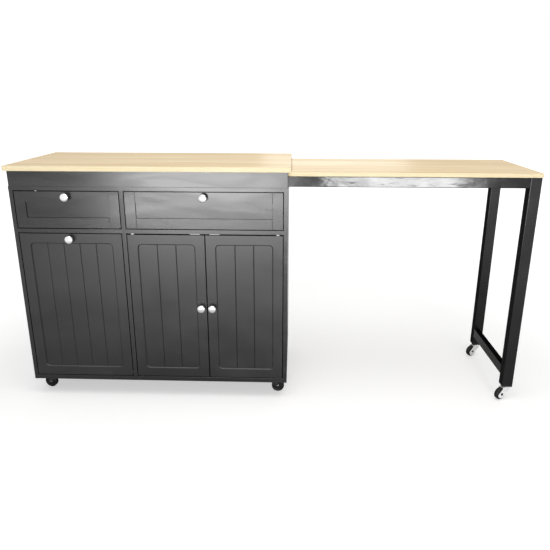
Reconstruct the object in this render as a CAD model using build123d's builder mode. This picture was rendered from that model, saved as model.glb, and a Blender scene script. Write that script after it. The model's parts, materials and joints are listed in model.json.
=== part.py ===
from build123d import *
from math import cos, sin, radians
import os

os.makedirs("parts", exist_ok=True)

# Rolling kitchen island with a table that pulls out to the right.
# X runs along the front, Y goes in from the front, Z is up, millimetres.
# The origin is on the floor, under the middle of the footprint with the table pulled out.

# Driving dimensions: worktop and cabinet

overall_height = 915
overall_length = 1917
worktop_depth = 482
worktop_length = 1029
worktop_thickness = 18
top_corner = 4
top_edge = 1.2
overhang_left = 9
overhang_front = 11
body_length = 1011
body_depth = 470
board = 15
deck_top = 841.5
bottom_thickness = 18
castor_height = 68
apron_inset = 1.5
apron_setback = 1
left_bay_width = 387
drawer_opening = 141
back_thickness = 3
back_setback = 5
back_groove_depth = 5
board_edge = 0.8

# Driving dimensions: fronts

gap = 2.5
door_top_gap = 4
front_frame = 39
drawer_sink = 4
door_sink = 5
door_sink_radius = 12
door_sink_bevel = 3.2
bead_side = 2.5
joint_line_side = 1.2
bin_planks = 5
door_planks = 3

# Driving dimensions: drawer boxes and runners

box_board = 12
drawer_box_depth = 380
drawer_box_height = 100
drawer_box_rise = 12
drawer_bottom_thickness = 4
drawer_bottom_rise = 10
box_edge_radius = 2
groove_depth = 5
runner_length = 350
runner_setback = 2
runner_rise = 8
runner_space = 12.5
runner_height = 35
runner_wall = 1.5
runner_depth = 11
moving_runner_depth = 9.5
runner_ball_gap = 2.5

# Driving dimensions: tilt-out bin box

tilt_axis_rise = 14
tilt_travel = 32
bin_box_depth = 250
bin_box_height = 262
bin_box_rise = 6
bin_box_clearance = 5
bin_corner = (50, 30)
stop_radius = 200
stop_angle = 60
stop_bolt_radius = 4
stop_bolt_head = 3
stop_bolt_play = 0.6
stop_slot_radius = 4.6
stop_end_play = 0.6

# Driving dimensions: pivots, catches, shelf

pivot_inset = 19
pivot_radius = 2.5
running_fit = 0.08
pivot_seat = 12
collar_radius = 6
collar_play = 0.4
blind_depth = 10
blind_end_play = 1
catch_length = 37
catch_depth = 15
catch_height = 13
catch_bevel = 1.5
catch_offset = 36
catch_plate = 2.4
catch_plate_setback = 1.5
strike_thickness = 1
strike_length = 38
strike_height = 13
strike_play = 0.4
shelf_height = 373
shelf_front_setback = 40
shelf_side_play = 1
shelf_back_play = 2
shelf_pin_radius = 2.5
shelf_pin_reach = 9
shelf_pin_seat = 3
shelf_pin_setbacks = (70, 400)

# Driving dimensions: knobs

knob_radius = 15
knob_reach = 26
knob_neck_radius = 6
knob_neck_length = 14
knob_bevel = 2
door_knob_height = 383

# Driving dimensions: pull-out table

table_front_setback = 20
table_depth = 431
table_top_thickness = 15
table_engaged = 141
rail_width = 25
rail_height = 38
rail_setback = 2.5
cross_rail_setbacks = (2, 5)
tube_wall = 1.5
tube_corner = 2
leg_side = 40
leg_inset = 4.5
table_castor_height = 55
foot_cap_height = 6
foot_cap_plug = 30
foot_cap_bevel = 2
foot_bar_rise = 96
glide_setbacks = (20, 5)
glide_width = 18
glide_groove = 2
glide_proud = 0.4
slide_clearance = 0.3
stop_block_length = 35
stop_block_width = 40
stop_block_height = 14
stop_block_setback = 130
stop_block_bevel = 2
stop_block_play = 0.5

# Driving dimensions: castors under the cabinet and under the table

cabinet_wheel_radius = 25
cabinet_wheel_width = 18
cabinet_trail = 24
cabinet_castor_inset = 60
cabinet_castor_setback = 62
castor_headings = (172, 0, 165, 20)
cabinet_axle_radius = 4
plate_length = 58
plate_width = 44
plate_thickness = 2.5
plate_corner = 4
race_height = 6
race_radius = 19
race_play = 0.4
king_pin_radius = 4
king_nut_radius = 7
king_nut_height = 3
fork_back = 14
fork_front = 15
fork_knee = 5
table_castor_heading = 208
table_wheel_radius = 24
table_wheel_width = 16
table_trail = 25
table_axle_radius = 3
table_fork_back = 10
table_fork_front = 11
table_crown_drop = 3
stem_radius = 5
stem_collar_radius = 8
stem_collar_play = 0.6
stem_end_play = 1
stem_depth = 23
fork_wall = 2
cheek_clearance = 1.4
boss_wall = 4
nut_rim = 2
nut_height = 2.5

# Places worked out from the driving dimensions

worktop_x = (-overall_length / 2, -overall_length / 2 + worktop_length)
worktop_y = (-worktop_depth / 2, worktop_depth / 2)
worktop_bottom = overall_height - worktop_thickness

body_left = worktop_x[0] + overhang_left
body_right = body_left + body_length
body_front = worktop_y[0] + overhang_front
body_back = body_front + body_depth

bottom_top = castor_height + bottom_thickness
deck_bottom = deck_top - board
drawer_floor = deck_bottom - drawer_opening
door_head = drawer_floor - board

left_bay = (body_left + board, body_left + board + left_bay_width)
right_bay = (left_bay[1] + board, body_right - board)
door_meeting = (right_bay[0] + right_bay[1]) / 2

back_y = (body_back - back_setback - back_thickness, body_back - back_setback)
inside_y = (body_front, back_y[0])
fronts_back = body_front + board

drawer_front_z = (drawer_floor + gap, deck_bottom - gap)
door_z = (bottom_top + gap, door_head - door_top_gap)
bin_front_z = (bottom_top + gap, door_head - gap)
left_front_x = (left_bay[0] + gap, left_bay[1] - gap)
right_front_x = (right_bay[0] + gap, right_bay[1] - gap)
left_door_x = (right_front_x[0], door_meeting - gap / 2)
right_door_x = (door_meeting + gap / 2, right_front_x[1])

table_x = (body_right - table_engaged, overall_length / 2)
table_y = (body_front + table_front_setback, body_front + table_front_setback + table_depth)
rail_z = deck_top + glide_proud + slide_clearance
table_top_z = rail_z + rail_height
leg_x = (table_x[1] - leg_inset - leg_side, table_x[1] - leg_inset)
front_rail_y = (table_y[0] + rail_setback, table_y[0] + rail_setback + rail_width)
back_rail_y = (table_y[1] - rail_setback - rail_width, table_y[1] - rail_setback)
foot_cap_z = (table_castor_height, table_castor_height + foot_cap_height)

front_plane = Plane.XZ.offset(-body_front)


def middle(span):
    """Middle of a span given by its two limits."""
    return (span[0] + span[1]) / 2


def rectangle(u, v):
    """Draw a rectangle between two limits along each sketch axis."""
    with Locations((middle(u), middle(v))):
        Rectangle(u[1] - u[0], v[1] - v[0])


def finish(piece, name):
    """Label a finished piece and write its STEP file."""
    piece.part.label = name
    export_step(piece.part, f"parts/{name}.step")


def finish_group(solids, name):
    """Write separate solids that share one node."""
    group = Compound(label=name, children=solids)
    export_step(group, f"parts/{name}.step")


# Worktop

with BuildPart() as worktop:
    with BuildSketch(Plane.XY.offset(worktop_bottom)):
        rectangle(worktop_x, worktop_y)
    extrude(amount=worktop_thickness)
    fillet(worktop.edges().filter_by(Axis.Z), radius=top_corner)
    chamfer(worktop.faces().sort_by(Axis.Z)[-1].edges(), length=top_edge)
    chamfer(worktop.faces().sort_by(Axis.Z)[0].edges(), length=board_edge)
finish(worktop, "worktop")

# Aprons round the table's slot: front, back and left, open on the right

apron_x = (body_left + apron_inset, body_right - apron_inset)
front_apron_y = (body_front + apron_setback, body_front + apron_setback + board)
back_apron_y = (body_back - board, body_back)

for name, span in (("apron_front", front_apron_y), ("apron_back", back_apron_y)):
    with BuildPart() as apron:
        with BuildSketch(Plane.XY.offset(deck_top)):
            rectangle(apron_x, span)
        extrude(amount=worktop_bottom - deck_top)
        chamfer(apron.edges().filter_by(Axis.Z), length=board_edge)
    finish(apron, name)

with BuildPart() as apron_left:
    with BuildSketch(Plane.XY.offset(deck_top)):
        rectangle((apron_x[0], apron_x[0] + board), (front_apron_y[1], back_apron_y[0]))
    extrude(amount=worktop_bottom - deck_top)
finish(apron_left, "apron_left")


def cut_back_groove(x, z):
    """Cut the groove that holds an edge of the thin back panel."""
    with BuildSketch(Plane.XZ.offset(-back_y[0])) as groove:
        rectangle(x, z)
    extrude(groove.sketch, amount=-back_thickness, mode=Mode.SUBTRACT)


groove_x = (left_bay[0] - back_groove_depth, right_bay[1] + back_groove_depth)
groove_z = (bottom_top - back_groove_depth, deck_bottom + back_groove_depth)

# Deck board: roof of the drawers and floor of the table's slot, with grooves for the glide strips

glide_x = (left_bay[0] + glide_setbacks[0], body_right - glide_setbacks[1])
glide_rows = (middle(front_rail_y), middle(back_rail_y))

with BuildPart() as deck:
    with BuildSketch(Plane.XY.offset(deck_bottom)):
        rectangle((body_left, body_right), (body_front, body_back))
    extrude(amount=board)
    chamfer(deck.faces().sort_by(Axis.Z)[-1].edges(), length=board_edge)
    cut_back_groove(groove_x, (deck_bottom, groove_z[1]))
    with BuildSketch(Plane.XY.offset(deck_top - glide_groove)):
        for row in glide_rows:
            rectangle(glide_x, (row - glide_width / 2, row + glide_width / 2))
    extrude(amount=glide_groove, mode=Mode.SUBTRACT)
finish(deck, "deck")

# Sides of the cabinet

shelf_pin_z = shelf_height - shelf_pin_radius
shelf_pin_points = [(body_front + setback, shelf_pin_z) for setback in shelf_pin_setbacks]
tilt_axis_y = body_front + board / 2
tilt_axis_z = door_z[0] + tilt_axis_rise
stop_bolt_y = tilt_axis_y + stop_radius * cos(radians(stop_angle))
stop_bolt_z = tilt_axis_z + stop_radius * sin(radians(stop_angle))
pivot_bore = pivot_radius + running_fit


def face_plane(x, outward):
    """A plane on an upright face, with Y across, Z up and its normal along outward."""
    return Plane(origin=(x, 0, 0), x_dir=(0, outward, 0), z_dir=(outward, 0, 0))


def drill(plane, points, radius, depth):
    """Drill blind holes into a face, at points given in Y and Z."""
    side = plane.x_dir.Y
    with BuildSketch(plane) as holes:
        with Locations(*[(side * y, z) for y, z in points]):
            Circle(radius)
    extrude(holes.sketch, amount=-depth, mode=Mode.SUBTRACT)


def side_blank(x):
    """An upright side from the underside of the bottom board to the deck."""
    with BuildSketch(Plane.XY.offset(castor_height)) as outline:
        rectangle(x, (body_front, body_back))
    extrude(outline.sketch, amount=deck_bottom - castor_height)


with BuildPart() as side_left:
    side_blank((body_left, left_bay[0]))
    chamfer(side_left.faces().sort_by(Axis.X)[0].edges().filter_by(Axis.Z), length=board_edge)
    cut_back_groove((groove_x[0], left_bay[0]), (groove_z[0], deck_bottom))
    drill(face_plane(left_bay[0], 1), [(tilt_axis_y, tilt_axis_z)], pivot_bore, blind_depth)
    drill(face_plane(left_bay[0], 1), [(stop_bolt_y, stop_bolt_z)], stop_bolt_radius, blind_depth)
finish(side_left, "side_left")

with BuildPart() as side_right:
    side_blank((right_bay[1], body_right))
    chamfer(side_right.faces().sort_by(Axis.X)[-1].edges().filter_by(Axis.Z), length=board_edge)
    cut_back_groove((right_bay[1], groove_x[1]), (groove_z[0], deck_bottom))
    drill(face_plane(right_bay[1], -1), shelf_pin_points, shelf_pin_radius, blind_depth)
finish(side_right, "side_right")

# Upright divider between the two bays

with BuildPart() as divider:
    with BuildSketch(Plane.XY.offset(bottom_top)):
        rectangle((left_bay[1], right_bay[0]), inside_y)
    extrude(amount=deck_bottom - bottom_top)
    drill(face_plane(left_bay[1], -1), [(tilt_axis_y, tilt_axis_z)], pivot_bore, blind_depth)
    drill(face_plane(left_bay[1], -1), [(stop_bolt_y, stop_bolt_z)], stop_bolt_radius, blind_depth)
    drill(face_plane(right_bay[0], 1), shelf_pin_points, shelf_pin_radius, shelf_pin_seat)
finish(divider, "divider")

# Drawer decks, one in each bay, the right one with the doors' upper pivot bores

door_pivots_x = (left_door_x[0] + pivot_inset, right_door_x[1] - pivot_inset)

with BuildPart() as drawer_deck_left:
    with BuildSketch(Plane.XY.offset(door_head)):
        rectangle(left_bay, inside_y)
    extrude(amount=board)

with BuildPart() as drawer_deck_right:
    with BuildSketch(Plane.XY.offset(door_head)):
        rectangle(right_bay, inside_y)
    extrude(amount=board)
    with BuildSketch(Plane.XY.offset(door_head)):
        with Locations(*[(x, tilt_axis_y) for x in door_pivots_x]):
            Circle(pivot_bore)
    extrude(amount=blind_depth, mode=Mode.SUBTRACT)
finish_group([drawer_deck_left.part, drawer_deck_right.part], "drawer_decks")

# Bottom board between the sides, with the doors' lower pivot bores

with BuildPart() as bottom_board:
    with BuildSketch(Plane.XY.offset(castor_height)):
        rectangle((left_bay[0], right_bay[1]), (body_front, body_back))
    extrude(amount=bottom_thickness)
    chamfer(bottom_board.edges().filter_by(Axis.X).group_by(Axis.Y)[0], length=board_edge)
    cut_back_groove((left_bay[0], right_bay[1]), (groove_z[0], bottom_top))
    with BuildSketch(Plane.XY.offset(bottom_top)):
        with Locations(*[(x, tilt_axis_y) for x in door_pivots_x]):
            Circle(pivot_bore)
    extrude(amount=-blind_depth, mode=Mode.SUBTRACT)
finish(bottom_board, "bottom_board")

# Thin back panel in its grooves

with BuildPart() as back_panel:
    with BuildSketch(Plane.XZ.offset(-back_y[0])):
        rectangle(groove_x, groove_z)
    extrude(amount=-back_thickness)
finish(back_panel, "back_panel")

# Adjustable shelf on four steel pins

shelf_x = (right_bay[0] + shelf_side_play, right_bay[1] - shelf_side_play)
shelf_y = (body_front + shelf_front_setback, back_y[0] - shelf_back_play)

with BuildPart() as shelf:
    with BuildSketch(Plane.XY.offset(shelf_height)):
        rectangle(shelf_x, shelf_y)
    extrude(amount=board)
    chamfer(shelf.edges().filter_by(Axis.X).group_by(Axis.Y)[0], length=board_edge)
finish(shelf, "shelf")

pins = []
for face_x, inward, seat in ((right_bay[0], 1, shelf_pin_seat), (right_bay[1], -1, blind_depth)):
    for point in shelf_pin_points:
        with BuildPart() as shelf_pin:
            with BuildSketch(Plane.YZ.offset(face_x - inward * seat)):
                with Locations(point):
                    Circle(shelf_pin_radius)
            extrude(amount=inward * (shelf_pin_reach + seat))
        pins.append(shelf_pin.part)

# Stop bolts that reach through the curved slots of the bin box

bolt_reach = bin_box_clearance + box_board + stop_bolt_play
for face_x, inward in ((left_bay[0], 1), (left_bay[1], -1)):
    with BuildPart() as stop_bolt:
        with BuildSketch(Plane.YZ.offset(face_x - inward * blind_depth)):
            with Locations((stop_bolt_y, stop_bolt_z)):
                Circle(stop_bolt_radius)
        extrude(amount=inward * (blind_depth + bolt_reach))
        with BuildSketch(Plane.YZ.offset(face_x + inward * bolt_reach)):
            with Locations((stop_bolt_y, stop_bolt_z)):
                RegularPolygon(radius=2 * stop_bolt_radius, side_count=6)
        extrude(amount=inward * stop_bolt_head)
    pins.append(stop_bolt.part)
finish_group(pins, "cabinet_pins")

# Runner members: the fixed channel opens towards the drawer, the moving one towards the cabinet


def channel_profile(x, centre_z, height, depth, wall):
    """Draw a C channel whose web stands at x; depth is signed and points to the open side."""
    half = height / 2
    into = wall if depth > 0 else -wall
    with BuildLine() as outline:
        Polyline(
            (x, centre_z - half),
            (x + depth, centre_z - half),
            (x + depth, centre_z - half + wall),
            (x + into, centre_z - half + wall),
            (x + into, centre_z + half - wall),
            (x + depth, centre_z + half - wall),
            (x + depth, centre_z + half),
            (x, centre_z + half),
            close=True,
        )
    make_face(outline.edges())


drawer_box_bottom = drawer_front_z[0] + drawer_box_rise
drawer_box_z = (drawer_box_bottom, drawer_box_bottom + drawer_box_height)
drawer_bottom_low = drawer_box_bottom + drawer_bottom_rise
drawer_bottom_z = (drawer_bottom_low, drawer_bottom_low + drawer_bottom_thickness)
runner_z = drawer_box_z[0] + runner_height / 2 + runner_rise
runner_plane = Plane.XZ.offset(-fronts_back - runner_setback)
moving_runner_height = runner_height - 2 * (runner_wall + runner_ball_gap)


def fixed_runner(face_x, inward):
    """The outer channel, screwed to an upright."""
    with BuildPart() as member:
        with BuildSketch(runner_plane):
            channel_profile(face_x, runner_z, runner_height, inward * runner_depth, runner_wall)
        extrude(amount=-runner_length)
    return member.part


def moving_runner(box_face_x, outward):
    """The inner channel, screwed to a drawer side."""
    with BuildPart() as member:
        with BuildSketch(runner_plane):
            depth = outward * moving_runner_depth
            channel_profile(box_face_x, runner_z, moving_runner_height, depth, runner_wall)
        extrude(amount=-runner_length)
    return member.part


fixed_members = [
    fixed_runner(face_x, inward)
    for bay in (left_bay, right_bay)
    for face_x, inward in ((bay[0], 1), (bay[1], -1))
]
finish_group(fixed_members, "drawer_runners_fixed")

# Nylon glide strips for the table's rails, and the blocks that stop the table

guides = []
for row in glide_rows:
    with BuildPart() as glide:
        with BuildSketch(Plane.XY.offset(deck_top - glide_groove)):
            rectangle(glide_x, (row - glide_width / 2, row + glide_width / 2))
        extrude(amount=glide_groove + glide_proud)
    guides.append(glide.part)

inner_cross_low = table_x[0] + cross_rail_setbacks[0]
inner_cross_x = (inner_cross_low, inner_cross_low + rail_width)
stop_block_low = inner_cross_x[1] + stop_block_play
for block_y in (body_front + stop_block_setback, body_back - stop_block_setback):
    with BuildPart() as stop_block:
        with BuildSketch(Plane.XY.offset(deck_top)):
            with Locations((stop_block_low + stop_block_length / 2, block_y)):
                Rectangle(stop_block_length, stop_block_width)
        extrude(amount=stop_block_height)
        chamfer(stop_block.faces().sort_by(Axis.Z)[-1].edges(), length=stop_block_bevel)
    guides.append(stop_block.part)
finish_group(guides, "table_guides")

# Magnetic catches under the right drawer deck: a body behind each door's top, on a thin plate that
# comes forward over the door and shows in the gap

catch_front = fronts_back + strike_thickness + strike_play
catch_plate_front = body_front + catch_plate_setback
catches = []
for side in (-1, 1):
    centre_x = door_meeting + side * catch_offset
    catch_x = (centre_x - catch_length / 2, centre_x + catch_length / 2)
    with BuildPart() as catch:
        with BuildSketch(Plane.XY.offset(door_head - catch_height)):
            rectangle(catch_x, (catch_front, catch_front + catch_depth))
        extrude(amount=catch_height)
        chamfer(catch.faces().sort_by(Axis.Z)[0].edges(), length=catch_bevel)
        with BuildSketch(Plane.XY.offset(door_head - catch_plate)):
            rectangle(catch_x, (catch_plate_front, catch_front))
        extrude(amount=catch_plate)
    catches.append(catch.part)
finish_group(catches, "door_catches")


# Fronts


def shaker_front(x, z):
    """A drawer front: flat sunk field, and fine joint lines where the stiles meet the rails."""
    field_x = (x[0] + front_frame, x[1] - front_frame)
    field_z = (z[0] + front_frame, z[1] - front_frame)
    with BuildPart() as front:
        with BuildSketch(front_plane):
            rectangle(x, z)
        extrude(amount=-board)
        chamfer(front.faces().sort_by(Axis.Y)[0].edges(), length=board_edge)
        with BuildSketch(front_plane):
            rectangle(field_x, field_z)
        extrude(amount=-drawer_sink, mode=Mode.SUBTRACT)
        with BuildSketch(Plane.XY.offset(z[0])):
            with Locations(*[(line_x, body_front) for line_x in field_x]):
                Rectangle(joint_line_side, joint_line_side, rotation=45)
        extrude(amount=z[1] - z[0], mode=Mode.SUBTRACT)
    return front


def beadboard_front(x, z, planks, pivots):
    """A door: sunk field with rounded corners and a sloping rim, cut into planks by V grooves.

    pivots holds, for each pin, the point where it leaves the door's edge and its direction.
    """
    field_x = (x[0] + front_frame, x[1] - front_frame)
    field_z = (z[0] + front_frame, z[1] - front_frame)
    plank = (field_x[1] - field_x[0]) / planks
    with BuildPart() as front:
        with BuildSketch(front_plane):
            rectangle(x, z)
        extrude(amount=-board)
        chamfer(front.faces().sort_by(Axis.Y)[0].edges(), length=board_edge)
        with BuildSketch(front_plane):
            with Locations((middle(field_x), middle(field_z))):
                RectangleRounded(field_x[1] - field_x[0], field_z[1] - field_z[0], door_sink_radius)
        extrude(amount=-door_sink, mode=Mode.SUBTRACT)
        sunk_field = front.faces().filter_by(Axis.Y).sort_by(Axis.Y)[1]
        rim = front.faces().sort_by(Axis.Y)[0].inner_wires()[0].edges()
        chamfer(rim, length=door_sink_bevel)
        with BuildSketch(Plane.XY.offset(field_z[0])):
            lines = [field_x[0] + plank * n for n in range(1, planks)]
            with Locations(*[(line_x, sunk_field.center().Y) for line_x in lines]):
                Rectangle(bead_side, bead_side, rotation=45)
        extrude(amount=field_z[1] - field_z[0], mode=Mode.SUBTRACT)
        for point, outward in pivots:
            with BuildSketch(Plane(origin=point, z_dir=outward)):
                Circle(pivot_radius)
            extrude(amount=-pivot_seat, mode=Mode.SUBTRACT)
    return front


def knob(x, z):
    """A round knob: a slim neck and a head with a bevelled rim."""
    with BuildPart() as turned:
        for radius, start, end in (
            (knob_neck_radius, 0, knob_neck_length),
            (knob_radius, knob_neck_length, knob_reach),
        ):
            with BuildSketch(front_plane.offset(start)):
                with Locations((x, z)):
                    Circle(radius)
            extrude(amount=end - start)
        chamfer(turned.faces().sort_by(Axis.Y)[0].edges(), length=knob_bevel)
    return turned


# Drawers


def drawer(name, bay, front_x):
    """One drawer: front, box, runner members and knob."""
    box_x = (bay[0] + runner_space, bay[1] - runner_space)
    inner_x = (box_x[0] + box_board, box_x[1] - box_board)
    box_y = (fronts_back, fronts_back + drawer_box_depth)
    knob_z = drawer_front_z[1] - front_frame / 2
    front = shaker_front(front_x, drawer_front_z)
    finish(front, f"{name}_front")

    sides = []
    for outer, inner in ((box_x[0], inner_x[0]), (box_x[1], inner_x[1])):
        with BuildPart() as box_side:
            with BuildSketch(Plane.XY.offset(drawer_box_z[0])):
                rectangle(sorted((outer, inner)), box_y)
            extrude(amount=drawer_box_height)
            fillet(box_side.faces().sort_by(Axis.Z)[-1].edges().filter_by(Axis.Y), radius=box_edge_radius)
            into = groove_depth if inner < outer else -groove_depth
            with BuildSketch(Plane.XY.offset(drawer_bottom_z[0])):
                rectangle(sorted((inner, inner + into)), box_y)
            extrude(amount=drawer_bottom_thickness, mode=Mode.SUBTRACT)
        sides.append(box_side.part)
    finish_group(sides, f"{name}_sides")

    with BuildPart() as box_back:
        with BuildSketch(Plane.XY.offset(drawer_bottom_z[1])):
            rectangle(inner_x, (box_y[1] - box_board, box_y[1]))
        extrude(amount=drawer_box_z[1] - drawer_bottom_z[1])
        fillet(box_back.faces().sort_by(Axis.Z)[-1].edges().filter_by(Axis.X), radius=box_edge_radius)
    finish(box_back, f"{name}_back")

    with BuildPart() as box_bottom:
        with BuildSketch(Plane.XY.offset(drawer_bottom_z[0])):
            rectangle((inner_x[0] - groove_depth, inner_x[1] + groove_depth), box_y)
        extrude(amount=drawer_bottom_thickness)
    finish(box_bottom, f"{name}_bottom")

    finish_group([moving_runner(box_x[0], -1), moving_runner(box_x[1], 1)], f"{name}_runners")
    finish(knob(middle(front_x), knob_z), f"{name}_knob")


drawer("drawer_left", left_bay, left_front_x)
drawer("drawer_right", right_bay, right_front_x)

# Tilt-out bin front and the box behind it

bin_knob_z = bin_front_z[1] - front_frame / 2
bin_pivot_places = (
    ((left_front_x[0], tilt_axis_y, tilt_axis_z), (-1, 0, 0)),
    ((left_front_x[1], tilt_axis_y, tilt_axis_z), (1, 0, 0)),
)
bin_front = beadboard_front(left_front_x, bin_front_z, bin_planks, bin_pivot_places)
finish(bin_front, "bin_front")
finish(knob(middle(left_front_x), bin_knob_z), "bin_knob")

bin_outer_x = (left_bay[0] + bin_box_clearance, left_bay[1] - bin_box_clearance)
bin_inner_x = (bin_outer_x[0] + box_board, bin_outer_x[1] - box_board)
bin_box_y = (fronts_back, fronts_back + bin_box_depth)
bin_box_z = (bottom_top + bin_box_rise, bottom_top + bin_box_rise + bin_box_height)
slot_angle = stop_angle - tilt_travel / 2
slot_sweep = tilt_travel + 2 * stop_end_play
tilt_axis_point = (tilt_axis_y, tilt_axis_z)

bin_sides = []
for side_x in ((bin_outer_x[0], bin_inner_x[0]), (bin_inner_x[1], bin_outer_x[1])):
    with BuildPart() as bin_side:
        with BuildSketch(Plane.YZ.offset(side_x[0])):
            with BuildLine():
                Polyline(
                    (bin_box_y[0], bin_box_z[0]),
                    (bin_box_y[1], bin_box_z[0]),
                    (bin_box_y[1], bin_box_z[1] - bin_corner[1]),
                    (bin_box_y[1] - bin_corner[0], bin_box_z[1]),
                    (bin_box_y[0], bin_box_z[1]),
                    close=True,
                )
            make_face()
            with BuildLine(mode=Mode.PRIVATE) as slot_path:
                CenterArc(tilt_axis_point, stop_radius, slot_angle - slot_sweep / 2, slot_sweep)
            SlotArc(arc=slot_path.wires()[0], height=2 * stop_slot_radius, mode=Mode.SUBTRACT)
        extrude(amount=box_board)
    bin_sides.append(bin_side.part)
finish_group(bin_sides, "bin_sides")

with BuildPart() as bin_bottom:
    with BuildSketch(Plane.XY.offset(bin_box_z[0])):
        rectangle(bin_inner_x, bin_box_y)
    extrude(amount=box_board)
finish(bin_bottom, "bin_bottom")

with BuildPart() as bin_back:
    with BuildSketch(Plane.XY.offset(bin_box_z[0] + box_board)):
        rectangle(bin_inner_x, (bin_box_y[1] - box_board, bin_box_y[1]))
    extrude(amount=bin_box_height - box_board - bin_corner[1])
    fillet(bin_back.faces().sort_by(Axis.Z)[-1].edges().filter_by(Axis.X), radius=box_edge_radius)
finish(bin_back, "bin_back")


def pivot(edge_point, outward, space):
    """A pivot pin seated in a door's edge, with its collar in the space beyond."""
    pin_plane = Plane(origin=Vector(edge_point) - Vector(outward) * pivot_seat, z_dir=outward)
    with BuildPart() as pin:
        with BuildSketch(pin_plane):
            Circle(pivot_radius)
        extrude(amount=pivot_seat + space + blind_depth - blind_end_play)
        with BuildSketch(Plane(origin=edge_point, z_dir=outward)):
            Circle(collar_radius)
        extrude(amount=space - collar_play)
    return pin.part


finish_group([pivot(*place, gap) for place in bin_pivot_places], "bin_pivots")

# Doors


def door(name, x, knob_x, pivot_x, catch_x):
    """One door with its knob, pivots and the strike plate of its catch."""
    places = (
        ((pivot_x, tilt_axis_y, door_z[0]), (0, 0, -1)),
        ((pivot_x, tilt_axis_y, door_z[1]), (0, 0, 1)),
    )
    front = beadboard_front(x, door_z, door_planks, places)
    finish(front, f"{name}_panel")
    finish(knob(knob_x, door_knob_height), f"{name}_knob")
    with BuildPart() as strike:
        with BuildSketch(Plane.XZ.offset(-fronts_back)):
            with Locations((catch_x, door_z[1] - strike_height / 2)):
                Rectangle(strike_length, strike_height)
        extrude(amount=-strike_thickness)
    lower_pivot = pivot(*places[0], gap)
    upper_pivot = pivot(*places[1], door_top_gap)
    finish_group([lower_pivot, upper_pivot, strike.part], f"{name}_hardware")


knobs_x = (left_door_x[1] - front_frame / 2, right_door_x[0] + front_frame / 2)
catches_x = (door_meeting - catch_offset, door_meeting + catch_offset)
door("door_left", left_door_x, knobs_x[0], door_pivots_x[0], catches_x[0])
door("door_right", right_door_x, knobs_x[1], door_pivots_x[1], catches_x[1])

# Pull-out table

with BuildPart() as table_top:
    with BuildSketch(Plane.XY.offset(table_top_z)):
        rectangle(table_x, table_y)
    extrude(amount=table_top_thickness)
    fillet(table_top.edges().filter_by(Axis.Z).group_by(Axis.X)[-1], radius=top_corner)
    chamfer(table_top.faces().sort_by(Axis.Z)[-1].edges(), length=top_edge)
    chamfer(table_top.faces().sort_by(Axis.Z)[0].edges(), length=board_edge)
finish(table_top, "table_top")


def tube_profile(u, v):
    """Draw the section of a square tube between two limits each way."""
    with Locations((middle(u), middle(v))):
        RectangleRounded(u[1] - u[0], v[1] - v[0], tube_corner)
        Rectangle(u[1] - u[0] - 2 * tube_wall, v[1] - v[0] - 2 * tube_wall, mode=Mode.SUBTRACT)


rail_span_z = (rail_z, rail_z + rail_height)
long_rails = []
for rail_y in (front_rail_y, back_rail_y):
    with BuildPart() as long_rail:
        with BuildSketch(Plane.YZ.offset(table_x[0])):
            tube_profile(rail_y, rail_span_z)
        extrude(amount=leg_x[0] - table_x[0])
    long_rails.append(long_rail.part)
finish_group(long_rails, "table_long_rails")

cross_span_y = (front_rail_y[1], back_rail_y[0])
end_cross_low = leg_x[0] + cross_rail_setbacks[1]
end_cross_x = (end_cross_low, end_cross_low + rail_width)
end_cross_y = (table_y[0] + leg_side, table_y[1] - leg_side)
cross_rails = []
for cross_x, span_y in ((inner_cross_x, cross_span_y), (end_cross_x, end_cross_y)):
    with BuildPart() as cross_rail:
        with BuildSketch(Plane.XZ.offset(-span_y[0])):
            tube_profile(cross_x, rail_span_z)
        extrude(amount=-(span_y[1] - span_y[0]))
    cross_rails.append(cross_rail.part)
finish_group(cross_rails, "table_cross_rails")

leg_rows = ((table_y[0], table_y[0] + leg_side), (table_y[1] - leg_side, table_y[1]))
legs = []
for leg_y in leg_rows:
    with BuildPart() as leg:
        with BuildSketch(Plane.XY.offset(foot_cap_z[1])):
            tube_profile(leg_x, leg_y)
        extrude(amount=table_top_z - foot_cap_z[1])
    legs.append(leg.part)
finish_group(legs, "table_legs")

foot_bar_z = (foot_bar_rise, foot_bar_rise + rail_height)
with BuildPart() as foot_bar:
    with BuildSketch(Plane.XZ.offset(-leg_rows[0][1])):
        tube_profile((leg_x[0], leg_x[0] + rail_width), foot_bar_z)
    extrude(amount=-(leg_rows[1][0] - leg_rows[0][1]))
finish(foot_bar, "table_foot_bar")

stem_bore = stem_radius + running_fit
stem_top = foot_cap_z[1] + stem_depth
caps = []
for leg_y in leg_rows:
    with BuildPart() as foot_cap:
        with BuildSketch(Plane.XY.offset(foot_cap_z[0])):
            rectangle(leg_x, leg_y)
        extrude(amount=foot_cap_height)
        chamfer(foot_cap.edges().filter_by(Axis.Z), length=foot_cap_bevel)
        chamfer(foot_cap.faces().sort_by(Axis.Z)[0].edges(), length=foot_cap_bevel)
        with BuildSketch(Plane.XY.offset(foot_cap_z[1])):
            with Locations((middle(leg_x), middle(leg_y))):
                Rectangle(leg_side - 2 * tube_wall, leg_side - 2 * tube_wall)
        extrude(amount=foot_cap_plug)
        with BuildSketch(Plane.XY.offset(foot_cap_z[0])):
            with Locations((middle(leg_x), middle(leg_y))):
                Circle(stem_bore)
        extrude(amount=stem_top + stem_end_play - foot_cap_z[0], mode=Mode.SUBTRACT)
    caps.append(foot_cap.part)
finish_group(caps, "table_foot_caps")


# Castors


def heading_plane(x, y, angle):
    """A level plane on the floor under the swivel, with its x axis towards the wheel."""
    return Plane(origin=(x, y, 0), x_dir=(cos(radians(angle)), sin(radians(angle)), 0), z_dir=(0, 0, 1))


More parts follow.
